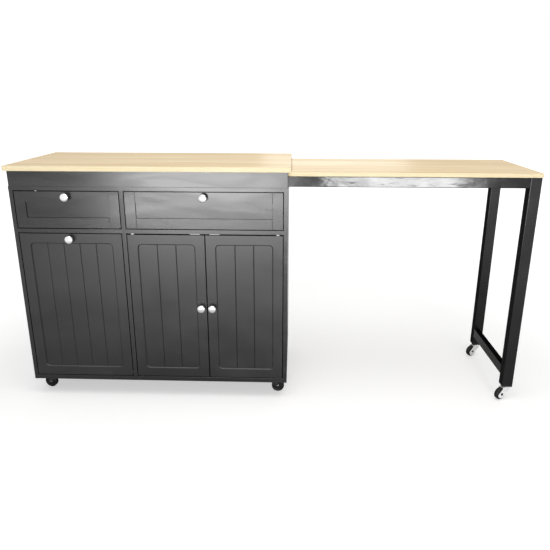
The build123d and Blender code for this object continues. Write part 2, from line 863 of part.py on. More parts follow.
def side_view(frame, offset):
    """The upright plane along the heading, offset sideways; x towards the wheel, y up."""
    across = frame.y_dir * -1
    return Plane(origin=frame.origin + across * offset, x_dir=frame.x_dir, z_dir=across)


def castor_wheel(frame, sizes, name):
    """A moulded wheel that turns on the fork's axle."""
    trail, radius, width, axle_radius = sizes
    with BuildPart() as wheel:
        with BuildSketch(side_view(frame, -width / 2)):
            with Locations((trail, radius)):
                Circle(radius)
                Circle(axle_radius + running_fit, mode=Mode.SUBTRACT)
        extrude(amount=width)
    finish(wheel, f"{name}_wheel")


def castor_fork(frame, sizes, crown, king_hole, stem, name):
    """A pressed fork: a flat crown, two cheeks down to the axle, and the axle with its nuts.

    crown holds the height of the crown's top and how far it reaches behind and before the swivel.
    The crown has a hole for a king pin, or else a stepped stem given as radius and top pairs.
    """
    trail, radius, width, axle_radius = sizes
    crown_top, back, front = crown
    inner = width / 2 + cheek_clearance
    outer = inner + fork_wall
    boss = axle_radius + boss_wall
    with BuildPart() as fork:
        for offset in (-outer, inner):
            with BuildSketch(side_view(frame, offset)):
                with BuildLine():
                    Polyline(
                        (trail - boss, radius),
                        (-back, crown_top - fork_wall - fork_knee),
                        (-back, crown_top),
                        (front, crown_top),
                        (trail + boss, radius),
                    )
                    ThreePointArc((trail + boss, radius), (trail, radius - boss), (trail - boss, radius))
                make_face()
            extrude(amount=fork_wall)
        with BuildSketch(frame.offset(crown_top - fork_wall)):
            rectangle((-back, front), (-outer, outer))
            if king_hole:
                Circle(king_hole, mode=Mode.SUBTRACT)
        extrude(amount=fork_wall)
        for step_radius, step_top in stem:
            with BuildSketch(frame.offset(crown_top)):
                Circle(step_radius)
            extrude(amount=step_top - crown_top)
        with BuildSketch(side_view(frame, -outer)):
            with Locations((trail, radius)):
                Circle(axle_radius)
        extrude(amount=2 * outer)
        for offset in (-outer - nut_height, outer):
            with BuildSketch(side_view(frame, offset)):
                with Locations((trail, radius)):
                    RegularPolygon(radius=axle_radius + nut_rim, side_count=6)
            extrude(amount=nut_height)
    finish(fork, f"{name}_fork")


# Castors under the cabinet: screwed plate, ball race cup and king pin, then fork and wheel

crown_top = castor_height - plate_thickness - race_height
crown_low = crown_top - fork_wall
nut_top = crown_low - race_play
castor_x = (body_left + cabinet_castor_inset, body_right - cabinet_castor_inset)
castor_y = (body_front + cabinet_castor_setback, body_back - cabinet_castor_setback)
cabinet_castors = {
    "castor_front_left": (castor_x[0], castor_y[0], castor_headings[0]),
    "castor_front_right": (castor_x[1], castor_y[0], castor_headings[1]),
    "castor_back_left": (castor_x[0], castor_y[1], castor_headings[2]),
    "castor_back_right": (castor_x[1], castor_y[1], castor_headings[3]),
}
cabinet_sizes = (cabinet_trail, cabinet_wheel_radius, cabinet_wheel_width, cabinet_axle_radius)
plates = []
for name, (x, y, angle) in cabinet_castors.items():
    frame = heading_plane(x, y, angle)
    with BuildPart() as plate:
        with BuildSketch(Plane.XY.offset(castor_height - plate_thickness)):
            with Locations((x, y)):
                Rectangle(plate_length, plate_width)
        extrude(amount=plate_thickness)
        chamfer(plate.edges().filter_by(Axis.Z), length=plate_corner)
        with BuildSketch(frame.offset(crown_top + race_play)):
            Circle(race_radius)
        extrude(amount=race_height - race_play)
        with BuildSketch(frame.offset(nut_top)):
            Circle(king_pin_radius)
        extrude(amount=crown_top + race_play - nut_top)
        with BuildSketch(frame.offset(nut_top - king_nut_height)):
            RegularPolygon(radius=king_nut_radius, side_count=6)
        extrude(amount=king_nut_height)
    plates.append(plate.part)
    crown = (crown_top, fork_back, fork_front)
    castor_fork(frame, cabinet_sizes, crown, king_pin_radius + running_fit, (), name)
    castor_wheel(frame, cabinet_sizes, name)
finish_group(plates, "castor_plates")

# Castors under the table: each fork turns on a stem in its foot cap

table_crown = (table_castor_height - table_crown_drop, table_fork_back, table_fork_front)
stem_steps = ((stem_collar_radius, foot_cap_z[0] - stem_collar_play), (stem_radius, stem_top))
table_sizes = (table_trail, table_wheel_radius, table_wheel_width, table_axle_radius)
for name, leg_y in (("table_castor_front", leg_rows[0]), ("table_castor_back", leg_rows[1])):
    frame = heading_plane(middle(leg_x), middle(leg_y), table_castor_heading)
    castor_fork(frame, table_sizes, table_crown, None, stem_steps, name)
    castor_wheel(frame, table_sizes, name)
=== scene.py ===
import bpy
import bmesh
import json
from math import cos, sin, pi, radians
from mathutils import Matrix, Vector

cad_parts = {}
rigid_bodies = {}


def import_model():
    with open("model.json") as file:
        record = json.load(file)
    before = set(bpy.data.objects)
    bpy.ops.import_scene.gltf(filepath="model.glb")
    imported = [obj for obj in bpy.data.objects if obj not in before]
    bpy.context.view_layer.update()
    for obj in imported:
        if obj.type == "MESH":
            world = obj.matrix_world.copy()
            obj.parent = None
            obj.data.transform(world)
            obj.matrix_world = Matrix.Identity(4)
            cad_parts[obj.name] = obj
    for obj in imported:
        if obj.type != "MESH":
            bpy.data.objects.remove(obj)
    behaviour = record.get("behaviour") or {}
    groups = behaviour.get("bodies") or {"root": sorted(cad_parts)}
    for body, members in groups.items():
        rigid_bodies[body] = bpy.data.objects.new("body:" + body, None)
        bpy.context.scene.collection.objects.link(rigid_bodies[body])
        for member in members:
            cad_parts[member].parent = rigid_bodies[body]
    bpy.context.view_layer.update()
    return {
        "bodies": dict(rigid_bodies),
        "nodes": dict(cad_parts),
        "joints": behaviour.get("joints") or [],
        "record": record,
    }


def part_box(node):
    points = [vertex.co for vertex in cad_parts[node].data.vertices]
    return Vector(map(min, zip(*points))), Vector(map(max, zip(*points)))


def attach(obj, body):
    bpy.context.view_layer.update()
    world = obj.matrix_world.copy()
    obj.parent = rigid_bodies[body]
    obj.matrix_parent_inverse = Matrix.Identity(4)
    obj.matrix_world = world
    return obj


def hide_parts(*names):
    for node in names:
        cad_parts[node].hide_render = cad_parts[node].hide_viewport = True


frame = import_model()
scene = bpy.context.scene
record = frame["record"]
nodes = frame["nodes"]
joints = {joint["name"]: joint for joint in frame["joints"]}

# Materials: helpers


def start_material(name, metallic=0.0, specular=0.5):
    """A new material with its tree, its shader and object coordinates in metres."""
    material = bpy.data.materials.new(name)
    material.use_nodes = True
    tree = material.node_tree
    shader = tree.nodes["Principled BSDF"]
    shader.inputs["Metallic"].default_value = metallic
    shader.inputs["Specular IOR Level"].default_value = specular
    place = tree.nodes.new("ShaderNodeTexCoord").outputs["Object"]
    return material, tree, shader, place


def stretched(tree, place, scale):
    """Coordinates scaled by a different amount along each axis."""
    mapping = tree.nodes.new("ShaderNodeMapping")
    mapping.inputs["Scale"].default_value = scale
    tree.links.new(place, mapping.inputs["Vector"])
    return mapping.outputs["Vector"]


def noise(tree, place, scale, detail, roughness, distortion=0.0):
    """A noise value between 0 and 1."""
    node = tree.nodes.new("ShaderNodeTexNoise")
    node.inputs["Scale"].default_value = scale
    node.inputs["Detail"].default_value = detail
    node.inputs["Roughness"].default_value = roughness
    node.inputs["Distortion"].default_value = distortion
    tree.links.new(place, node.inputs["Vector"])
    return node.outputs["Fac"]


def remap(tree, value, low, high, new_low, new_high):
    """A value carried from one range to another and clamped."""
    node = tree.nodes.new("ShaderNodeMapRange")
    node.inputs["From Min"].default_value = low
    node.inputs["From Max"].default_value = high
    node.inputs["To Min"].default_value = new_low
    node.inputs["To Max"].default_value = new_high
    tree.links.new(value, node.inputs["Value"])
    return node.outputs["Result"]


def blend_colour(tree, value, first, second):
    """A colour between two, by a value from 0 to 1; either may be a socket."""
    node = tree.nodes.new("ShaderNodeMix")
    node.data_type = "RGBA"
    tree.links.new(value, node.inputs["Factor"])
    for socket, colour in (("A", first), ("B", second)):
        sockets = [entry for entry in node.inputs if entry.name == socket]
        target = [entry for entry in sockets if entry.type == "RGBA"][0]
        if isinstance(colour, tuple):
            target.default_value = (*colour, 1)
        else:
            tree.links.new(colour, target)
    return [entry for entry in node.outputs if entry.type == "RGBA"][0]


def bump(tree, shader, height, strength, distance):
    """Relief from a height value; distance is in metres."""
    node = tree.nodes.new("ShaderNodeBump")
    node.inputs["Strength"].default_value = strength
    node.inputs["Distance"].default_value = distance
    tree.links.new(height, node.inputs["Height"])
    tree.links.new(node.outputs["Normal"], shader.inputs["Normal"])
    return node


# Materials: the kinds

TUBE_CORNER = 0.0018


def plank_wood(name, pale, deep, streak, roughness):
    """Pale wood with its grain along X: broad figure, fine lines and short pores."""
    material, tree, shader, place = start_material(name, specular=0.14)
    figure = noise(tree, stretched(tree, place, (1.1, 16, 16)), 1.0, 4, 0.55, 0.6)
    lines = noise(tree, stretched(tree, place, (4, 230, 230)), 1.0, 3, 0.6)
    pores = noise(tree, stretched(tree, place, (32, 1500, 1500)), 1.0, 2, 0.5)
    base = blend_colour(tree, remap(tree, figure, 0.34, 0.68, 0, 1), pale, deep)
    lined = blend_colour(tree, remap(tree, lines, 0.45, 0.72, 0, 0.55), base, streak)
    pored = blend_colour(tree, remap(tree, pores, 0.62, 0.75, 0, 0.4), lined, streak)
    tree.links.new(pored, shader.inputs["Base Color"])
    gloss = remap(tree, figure, 0.3, 0.7, roughness - 0.05, roughness + 0.07)
    tree.links.new(gloss, shader.inputs["Roughness"])
    bump(tree, shader, pores, 0.18, 0.0003)
    return material


def painted_board(name, dark, light, roughness, specular, wiping):
    """Black paint over board: soft wiped patches of gloss, faint grain and roller texture.

    Wiping is the stretch of the patches along each axis.
    """
    material, tree, shader, place = start_material(name, specular=specular)
    patches = noise(tree, stretched(tree, place, wiping), 1.0, 4, 0.6, 0.8)
    grain = noise(tree, stretched(tree, place, (7, 160, 160)), 1.0, 3, 0.6)
    peel = noise(tree, place, 420, 2, 0.5)
    colour = blend_colour(tree, remap(tree, patches, 0.3, 0.7, 0, 1), dark, light)
    tree.links.new(colour, shader.inputs["Base Color"])
    gloss = remap(tree, patches, 0.32, 0.68, roughness - 0.06, roughness + 0.06)
    tree.links.new(gloss, shader.inputs["Roughness"])
    relief = tree.nodes.new("ShaderNodeMath")
    relief.operation = "MULTIPLY_ADD"
    relief.inputs[1].default_value = 0.5
    tree.links.new(grain, relief.inputs[0])
    tree.links.new(peel, relief.inputs[2])
    bump(tree, shader, relief.outputs[0], 0.12, 0.0004)
    return material


def coated_steel(name, dark, light, roughness, specular, waviness=0.0):
    """Gloss powder coat on steel: fine orange peel, and a slow waviness given in metres."""
    material, tree, shader, place = start_material(name, specular=specular)
    cloud = noise(tree, place, 9, 3, 0.5)
    peel = noise(tree, place, 260, 2, 0.45)
    tree.links.new(blend_colour(tree, cloud, dark, light), shader.inputs["Base Color"])
    gloss = remap(tree, cloud, 0.3, 0.7, roughness - 0.04, roughness + 0.06)
    tree.links.new(gloss, shader.inputs["Roughness"])
    relief = bump(tree, shader, peel, 0.1, 0.0003)
    corner = tree.nodes.new("ShaderNodeBevel")
    corner.inputs["Radius"].default_value = TUBE_CORNER
    normal = corner.outputs["Normal"]
    if waviness:
        ripple = noise(tree, stretched(tree, place, (13, 40, 30)), 1.0, 2, 0.5)
        waves = bump(tree, shader, ripple, 1.0, waviness)
        tree.links.new(normal, waves.inputs["Normal"])
        normal = waves.outputs["Normal"]
    tree.links.new(normal, relief.inputs["Normal"])
    tree.links.new(relief.outputs["Normal"], shader.inputs["Normal"])
    return material


def plated(name, bright, dull, roughness, lines, metallic=1.0):
    """Plated metal: lines is the stretch of its polishing marks."""
    material, tree, shader, place = start_material(name, metallic=metallic)
    marks = noise(tree, stretched(tree, place, lines), 1.0, 3, 0.6)
    cloud = noise(tree, place, 30, 2, 0.5)
    tree.links.new(blend_colour(tree, cloud, bright, dull), shader.inputs["Base Color"])
    gloss = remap(tree, marks, 0.3, 0.7, roughness * 0.7, roughness * 1.4)
    tree.links.new(gloss, shader.inputs["Roughness"])
    return material


def moulded(name, first, second, roughness, grain, specular=0.45):
    """Moulded plastic or rubber: mottled colour and a fine mould texture."""
    material, tree, shader, place = start_material(name, specular=specular)
    mottle = noise(tree, place, 60, 3, 0.5)
    texture = noise(tree, place, grain, 2, 0.5)
    tree.links.new(blend_colour(tree, mottle, first, second), shader.inputs["Base Color"])
    gloss = remap(tree, mottle, 0.3, 0.7, roughness - 0.05, roughness + 0.08)
    tree.links.new(gloss, shader.inputs["Roughness"])
    bump(tree, shader, texture, 0.15, 0.0003)
    return material


# Colours: the main one first, then those that it varies to

OAK = ((0.78, 0.61, 0.34), (0.68, 0.50, 0.26), (0.54, 0.38, 0.19))
OAK_EDGE = ((0.68, 0.60, 0.415), (0.64, 0.55, 0.36), (0.56, 0.45, 0.27))
BOX_BOARD = ((0.72, 0.58, 0.40), (0.62, 0.47, 0.30), (0.45, 0.31, 0.17))
BOARD_BLACKS = ((0.003, 0.003, 0.0031), (0.0045, 0.0045, 0.0047))
# The next three blacks are painted light and shade on the fronts: lightened rim walls, a highlight
# on rims that look up, and near-black edges and gaps
RIM_LIFTED_BLACKS = ((0.012, 0.012, 0.0125), (0.016, 0.016, 0.0165))
LEDGE_HIGHLIGHT_BLACKS = ((0.025, 0.025, 0.026), (0.04, 0.04, 0.041))
EDGE_SHADE_BLACKS = ((0.0012, 0.0012, 0.0013), (0.002, 0.002, 0.0021))
STEEL_BLACKS = ((0.003, 0.003, 0.0031), (0.005, 0.005, 0.0052))
SOFT_STEEL_BLACKS = ((0.004, 0.004, 0.0041), (0.006, 0.006, 0.0062))
# Painted shade for the sides of the leg tubes
TUBE_SHADE_BLACKS = ((0.013, 0.013, 0.0132), (0.018, 0.018, 0.0182))
ZINC = ((0.62, 0.62, 0.64), (0.50, 0.50, 0.52))
KNOB_CHROME = ((0.93, 0.93, 0.93), (0.86, 0.86, 0.87))
CASTOR_CHROME = ((0.95, 0.95, 0.95), (0.86, 0.86, 0.87))
NYLON = ((0.80, 0.80, 0.77), (0.72, 0.72, 0.69))
CATCH_GREYS = ((0.42, 0.42, 0.42), (0.5, 0.5, 0.5))
PLASTIC_BLACKS = ((0.018, 0.018, 0.018), (0.026, 0.026, 0.026))
PIN_BLACKS = ((0.02, 0.02, 0.02), (0.03, 0.03, 0.03))
TREAD_BLACKS = ((0.006, 0.006, 0.006), (0.010, 0.010, 0.010))

# One material for each slot of the record

slot_materials = {
    "worktop_wood": plank_wood("oak_face", *OAK, 0.36),
    "black_board": painted_board("satin_black", *BOARD_BLACKS, 0.335, 0.64, (3, 3, 5)),
    "box_wood": plank_wood("box_board", *BOX_BOARD, 0.5),
    "steel": plated("zinc_plate", *ZINC, 0.3, (20, 20, 600)),
    "black_steel": coated_steel("gloss_black", *STEEL_BLACKS, 0.22, 0.35),
    "knob_metal": plated("knob_chrome", *KNOB_CHROME, 0.1, (400, 400, 400)),
    "white_plastic": moulded("white_nylon", *NYLON, 0.42, 900),
    "black_plastic": moulded("black_plastic", *PLASTIC_BLACKS, 0.4, 1100),
    "wheel_black": moulded("wheel_tread", *TREAD_BLACKS, 0.36, 700, 0.25),
    "castor_chrome": plated("castor_chrome", *CASTOR_CHROME, 0.16, (300, 300, 60), 0.45),
}
for entry in record["subparts"]:
    node = nodes[entry["node"]]
    node.data.materials.clear()
    node.data.materials.append(slot_materials[entry["material_slot"]])

# Finishes for nodes and pieces that the photo shows glossier or greyer than their slot

RAIL_WAVINESS = 0.0012
GLOSS_NODES = ("apron_front", "side_left", "side_right", "deck", "drawer_decks", "bottom_board")

gloss_front = painted_board("polished_black", *BOARD_BLACKS, 0.256, 0.67, (2.2, 5, 14))
for name in GLOSS_NODES:
    nodes[name].data.materials[0] = gloss_front
rail_black = coated_steel("rail_black", *STEEL_BLACKS, 0.15, 0.35, RAIL_WAVINESS)
nodes["table_long_rails"].data.materials[0] = rail_black
nodes["door_catches"].data.materials[0] = moulded("catch_grey", *CATCH_GREYS, 0.4, 900)
yoke_black = coated_steel("yoke_black", *SOFT_STEEL_BLACKS, 0.16, 0.85)

# Finishes for some faces of a node, by the face's direction or height: painted shade on the tubes'
# sides, the bar's top and the low pivots, a lit copy of the coat on the bar's sides, dark runner
# ends, and an oak edge band

# Parts of a normal: FACING along an axis, LEVEL flat. Pivots below LOWER_PIVOTS metres are painted
# dark as shade
FACING = 0.7
LEVEL = 0.9
LOWER_PIVOTS = 0.2


def assign_faces(piece, material, chosen):
    """Give one more finish to the faces that the test picks by their centre and normal."""
    mesh = piece.data
    mesh.materials.append(material)
    for face in mesh.polygons:
        if chosen(face.center, face.normal):
            face.material_index = len(mesh.materials) - 1


# The leg tubes' sides lose their reflection: painted shade on one coat
shaded_tube_side = coated_steel("shaded_tube_side", *TUBE_SHADE_BLACKS, 0.5, 0.0)
# The foot bar's top gets painted shade, and its sides a lit copy of the same coat
shaded_bar_top = coated_steel("shaded_bar_top", *SOFT_STEEL_BLACKS, 0.5, 0.0)
lit_bar_face = coated_steel("lit_bar_face", *SOFT_STEEL_BLACKS, 0.3, 0.32)
foot_bar = nodes["table_foot_bar"]
assign_faces(nodes["table_legs"], shaded_tube_side, lambda centre, normal: abs(normal.x) > FACING)
assign_faces(foot_bar, shaded_bar_top, lambda centre, normal: normal.z > FACING)
assign_faces(foot_bar, lit_bar_face, lambda centre, normal: abs(normal.x) > FACING)

dark_end = slot_materials["black_plastic"]
for name in ("drawer_runners_fixed", "drawer_left_runners", "drawer_right_runners"):
    assign_faces(nodes[name], dark_end, lambda centre, normal: normal.y < -FACING)

# The low pivots are the same white nylon painted dark as shade; this dark plastic also colours the
# castors' rivets and nuts
dark_nut_and_pivot_shade = moulded("dark_nut_and_pivot_shade_finish", *PIN_BLACKS, 0.4, 900)
for name in ("door_left_hardware", "door_right_hardware", "bin_pivots"):
    assign_faces(nodes[name], dark_nut_and_pivot_shade, lambda centre, normal: centre.z < LOWER_PIVOTS)

edge_band = plank_wood("oak_edge", *OAK_EDGE, 0.40)
for name in ("worktop", "table_top"):
    assign_faces(nodes[name], edge_band, lambda centre, normal: abs(normal.z) <= LEVEL)

# Mesh helpers

ON_AXIS = 1e-6


def finish_piece(mesh_data, name, slot, body, replaced=(), smooth=True, edge_angle=35):
    """Turn a bmesh into an object that rides on a body and stands for the given nodes."""
    mesh = bpy.data.meshes.new(name)
    bmesh.ops.recalc_face_normals(mesh_data, faces=mesh_data.faces)
    mesh_data.to_mesh(mesh)
    mesh_data.free()
    mesh.materials.append(slot_materials[slot])
    piece = bpy.data.objects.new(name, mesh)
    scene.collection.objects.link(piece)
    if smooth:
        mesh.polygons.foreach_set("use_smooth", [True] * len(mesh.polygons))
        mesh.set_sharp_from_angle(angle=radians(edge_angle))
    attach(piece, body)
    if replaced:
        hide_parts(*replaced)
    return piece


def axis_frame(origin, direction):
    """A matrix whose Z axis points along direction, placed at origin."""
    turned = Vector(direction).to_track_quat("Z", "Y").to_matrix().to_4x4()
    return Matrix.Translation(origin) @ turned


def turn_profile(mesh_data, profile, place, steps, ring=False):
    """Add a turned form from (height along the axis, radius) pairs.

    A ring's last point joins its first.
    """
    rings = []
    for height, radius in profile:
        if radius < ON_AXIS:
            rings.append([mesh_data.verts.new(place @ Vector((0, 0, height)))])
        else:
            angles = [2 * pi * n / steps for n in range(steps)]
            points = [Vector((radius * cos(a), radius * sin(a), height)) for a in angles]
            rings.append([mesh_data.verts.new(place @ point) for point in points])
    for low, high in zip(rings, rings[1:] + rings[:1] if ring else rings[1:]):
        for n in range(steps):
            m = (n + 1) % steps
            corners = [low[n % len(low)], low[m % len(low)]]
            corners += [high[m % len(high)], high[n % len(high)]]
            mesh_data.faces.new(list(dict.fromkeys(corners)))


def prism(mesh_data, outline, place, thickness):
    """Add an outline, given in the plane of place, extruded along its Z axis."""
    low = [mesh_data.verts.new(place @ Vector((u, v, 0))) for u, v in outline]
    high = [mesh_data.verts.new(place @ Vector((u, v, thickness))) for u, v in outline]
    mesh_data.faces.new(low)
    mesh_data.faces.new(high)
    count = len(outline)
    for n in range(count):
        m = (n + 1) % count
        mesh_data.faces.new((low[n], low[m], high[m], high[n]))


def arc(centre, radius, start, end, steps):
    """Points along an arc, angles in degrees."""
    angles = [radians(start + (end - start) * n / steps) for n in range(steps + 1)]
    return [(centre[0] + radius * cos(a), centre[1] + radius * sin(a)) for a in angles]


# Drawer fronts, bin front and doors: the CAD form with an eased outline. Its outline and the
# drawers' recess walls get painted shade, the doors' rim walls a lightened black as painted light
# against their shade, and rims that look up a painted highlight

RIM_INSET = 0.008
EASED = 0.0013
SAME_PLANE = 0.00002
FLAT_WITHIN = radians(0.3)

# Parts of a normal: under SLANTED a face leaves the front's plane, under STEEP it is a recess wall,
# and over LEDGE it looks up
SLANTED = 0.97
STEEP = 0.6
LEDGE = 0.3

# Painted light and shade for the fronts: rim walls lightened against their shade, a highlight on
# rims that look up, and near-black edges
rim_lightened = painted_board("rim_lightened", *RIM_LIFTED_BLACKS, 0.42, 0.45, (3, 3, 5))
rim_ledge_highlight = painted_board("rim_ledge_highlight", *LEDGE_HIGHLIGHT_BLACKS, 0.4, 0.5, (9, 9, 9))
edge_painted_shade = painted_board("edge_painted_shade", *EDGE_SHADE_BLACKS, 0.6, 0.03, (3, 3, 5))

front_bodies = {
    "drawer_left_front": "drawer_left",
    "drawer_right_front": "drawer_right",
    "bin_front": "bin",
    "door_left_panel": "door_left",
    "door_right_panel": "door_right",
}


def outline_edges(form, low, high):
    """The edges round the front face of a form that fills the box from low to high."""
    found = []
    sides = ((low.x, 0), (high.x, 0), (low.z, 2), (high.z, 2))
    for edge in form.edges:
        ends = [vert.co for vert in edge.verts]
        on_face = all(abs(end.y - low.y) < SAME_PLANE for end in ends)
        on_side = any(
            all(abs(end[axis] - side) < SAME_PLANE for end in ends) for side, axis in sides
        )
        if on_face and on_side:
            found.append(edge)
    return found


for name, body in front_bodies.items():
    low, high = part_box(name)
    form = bmesh.new()
    form.from_mesh(nodes[name].data)
    bmesh.ops.remove_doubles(form, verts=form.verts, dist=SAME_PLANE / 2)
    bmesh.ops.dissolve_limit(
        form, angle_limit=FLAT_WITHIN, verts=form.verts, edges=form.edges
    )
    outline = outline_edges(form, low, high)
    bmesh.ops.bevel(form, geom=outline, offset=EASED, segments=3, profile=0.5, affect="EDGES")
    piece = finish_piece(form, name + "_eased", "black_board", body, (name,), smooth=False)

    def inside(centre):
        """Within the panel, further than the rim from the front's outline."""
        across = min(centre.x - low.x, high.x - centre.x)
        return min(across, centre.z - low.z, high.z - centre.z) > RIM_INSET

    # The eased outline and the front's sides get painted shade: a near-black, unreflecting finish
    # for the gaps
    assign_faces(
        piece, edge_painted_shade, lambda centre, normal: abs(normal.y) < SLANTED and not inside(centre)
    )
    if name.startswith("drawer"):
        piece.data.materials[0] = gloss_front
        # The drawers' recess walls get the same painted shade
        assign_faces(
            piece, edge_painted_shade, lambda centre, normal: abs(normal.y) < STEEP and inside(centre)
        )
    else:
        # The doors' rim walls get a lighter black than the face: painted light that lifts their
        # shade
        assign_faces(
            piece, rim_lightened, lambda centre, normal: abs(normal.y) < SLANTED and inside(centre)
        )
        # Rim faces that look up get a lighter black: a painted highlight where the overhead light
        # falls
        assign_faces(
            piece, rim_ledge_highlight, lambda centre, normal: normal.z > LEDGE and inside(centre)
        )

# Knobs: polished, domed, on a waisted neck, held by a screw from behind

# Radii of base and neck; heights are from the front's face, and all is in metres but FLARE_POWER
KNOB_BASE = 0.007
KNOB_NECK = 0.0048
BASE_CHAMFER = 0.0003
CHAMFER_TOP = 0.0004
BASE_EDGE = 0.0012
BASE_ROUND = 0.001
BASE_ROUND_AT = 0.0018
WAIST_START = 0.003
WAIST_LENGTH = 0.006
FLARE_START = 0.0095
FLARE_LENGTH = 0.0075
FLARE_POWER = 1.8
RIM_ROUND = 0.0016
RIM_ROUND_AT = 0.0014
RIM_BACK = 0.0012
RIM_CHAMFER = 0.0003
DOME_START = 0.0004
DOME_HEIGHT = 0.0062
SCREW_RADIUS = 0.002
SCREW_HEAD = 0.004
SCREW_EDGE = 0.0005
SCREW_PROUD = 0.0022
FRONT_THICKNESS = 0.015


def knob_profile(radius, reach):
    """From the screw's head behind the front, by base, waist, flare and rim to the dome's top."""
    back = FRONT_THICKNESS + SCREW_PROUD
    rim = reach - DOME_HEIGHT
    dome = rim + DOME_START
    profile = [(-back, 0), (-back, SCREW_HEAD * 0.8), (-back + SCREW_EDGE, SCREW_HEAD)]
    profile += [(-FRONT_THICKNESS, SCREW_HEAD), (-FRONT_THICKNESS, SCREW_RADIUS)]
    profile += [(0, SCREW_RADIUS), (0, KNOB_BASE - BASE_CHAMFER)]
    profile += [(CHAMFER_TOP, KNOB_BASE), (BASE_EDGE, KNOB_BASE)]
    shoulder = arc((BASE_ROUND_AT, KNOB_BASE - BASE_ROUND), BASE_ROUND, 90, 20, 3)
    profile += [(BASE_EDGE + height, around) for height, around in shoulder]
    for share in [n / 8 for n in range(1, 6)]:
        narrowing = (KNOB_BASE - BASE_EDGE - KNOB_NECK) * (1 - share) ** 2
        profile.append((WAIST_START + WAIST_LENGTH * share, KNOB_NECK + narrowing))
    for share in [n / 8 for n in range(9)]:
        widening = (radius - BASE_EDGE - KNOB_NECK) * share**FLARE_POWER
        profile.append((FLARE_START + FLARE_LENGTH * share, KNOB_NECK + widening))
    profile += arc((rim - RIM_ROUND_AT, radius - RIM_ROUND), RIM_ROUND, -40, 0, 2)
    profile = [(height, min(around, radius)) for height, around in profile]
    profile += [(rim - RIM_BACK, radius - RIM_CHAMFER), (rim - RIM_CHAMFER, radius), (dome, radius)]
    for turn in [n / 10 * pi / 2 for n in range(1, 11)]:
        rise = (DOME_HEIGHT - DOME_START) * sin(turn)
        profile.append((dome + rise, radius * cos(turn)))
    return profile


face_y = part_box("bin_front")[0].y
for body in front_bodies.values():
    name = body + "_knob"
    low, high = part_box(name)
    centre = ((low.x + high.x) / 2, face_y, (low.z + high.z) / 2)
    profile = knob_profile((high.x - low.x) / 2, face_y - low.y)
    form = bmesh.new()
    turn_profile(form, profile, axis_frame(centre, (0, -1, 0)), 56)
    finish_piece(form, name + "_turned", "knob_metal", body, (name,))

# Castors: a pressed yoke with rolled shoulders, a riveted axle with a nut, and a wheel

# The yoke: CAD_WALL is the fork's sheet in the CAD and YOKE_WALL the sheet drawn here
CAD_WALL = 0.002
YOKE_WALL = 0.0016
SHOULDER = 0.0045
SHOULDER_TURN = 1.5
BOSS_FOOT = 0.98
CHEEK_ROWS = 12
COLUMNS = 5
CHEEK_GAP = 0.0014
OUTSIDE_CHEEK = 0.0001

# The wheel
HUB_PROUD = 0.0004
TYRE_ROUND = 0.0034
TREAD_FLAT = 0.35
SEAM_WIDTH = 0.0003
SEAM_DEPTH = 0.0002

# The axle: each MARGIN is how far a part reaches past the axle's radius
RIVET_MARGIN = 0.0020
WASHER_MARGIN = 0.0023
NUT_MARGIN = 0.0018
RIVET_SEAT = 0.0003
RIVET_DOME = 0.0021
RIVET_HEIGHT = 0.0024
WASHER_THICKNESS = 0.0007
NUT_THICKNESS = 0.0017
AXLE_PROUD = 0.0030
AXLE_FIT = 0.0003

# Turned parts as (height, radius): STEM and CUP from the crown, STEM_END from the floor
STEM = ((0, 0), (0, 0.0088), (0.0010, 0.0092), (0.0022, 0.0080), (0.0024, 0.0050))
STEM_END = ((0.0750, 0.0050), (0.0760, 0.0040), (0.0760, 0))
CUP = (
    (-0.0040, 0.0040),
    (-0.0040, 0.0135),
    (-0.0016, 0.0150),
    (-0.0004, 0.0150),
    (-0.0004, 0.0040),
)

# The wheel's side, from the hub to the tyre: how far inside its width, and the share of its radius
WHEEL_SIDE = (
    (-HUB_PROUD, 0.27),
    (0.0026, 0.32),
    (0.0030, 0.62),
    (0.0006, 0.68),
    (0, 0.74),
    (0.0002, 0.86),
)

# Width of the wheel, radii of the axle and the cheek's boss, height of the crown, its reach behind
# and ahead of the king pin, and the power by which the cheek's back edge leaves the crown
castor_kinds = {
    "cabinet": {
        "slot": "black_steel",
        "width": 0.018,
        "axle": 0.004,
        "boss": 0.0085,
        "crown": 0.0595,
        "back": 0.014,
        "front": 0.015,
        "sweep": 0.9,
    },
    "table": {
        "slot": "castor_chrome",
        "width": 0.016,
        "axle": 0.003,
        "boss": 0.0175,
        "crown": 0.052,
        "back": 0.012,
        "front": 0.022,
        "sweep": 2.2,
    },
}


def yoke_section(outer, crown, foot):
    """The bent section: (across, height) from one cheek's foot over the crown to the other's."""
    cheek_top = crown - SHOULDER
    heights = [foot + (cheek_top - foot) * n / CHEEK_ROWS for n in range(CHEEK_ROWS)]
    bend = arc((outer - SHOULDER, cheek_top), SHOULDER, 0, 90, 5)
    half = [(outer, height) for height in heights] + bend
    flat = [((outer - SHOULDER) * (1 - n / 3), crown) for n in range(1, 6)]
    return half + flat + [(-across, height) for across, height in reversed(half)]


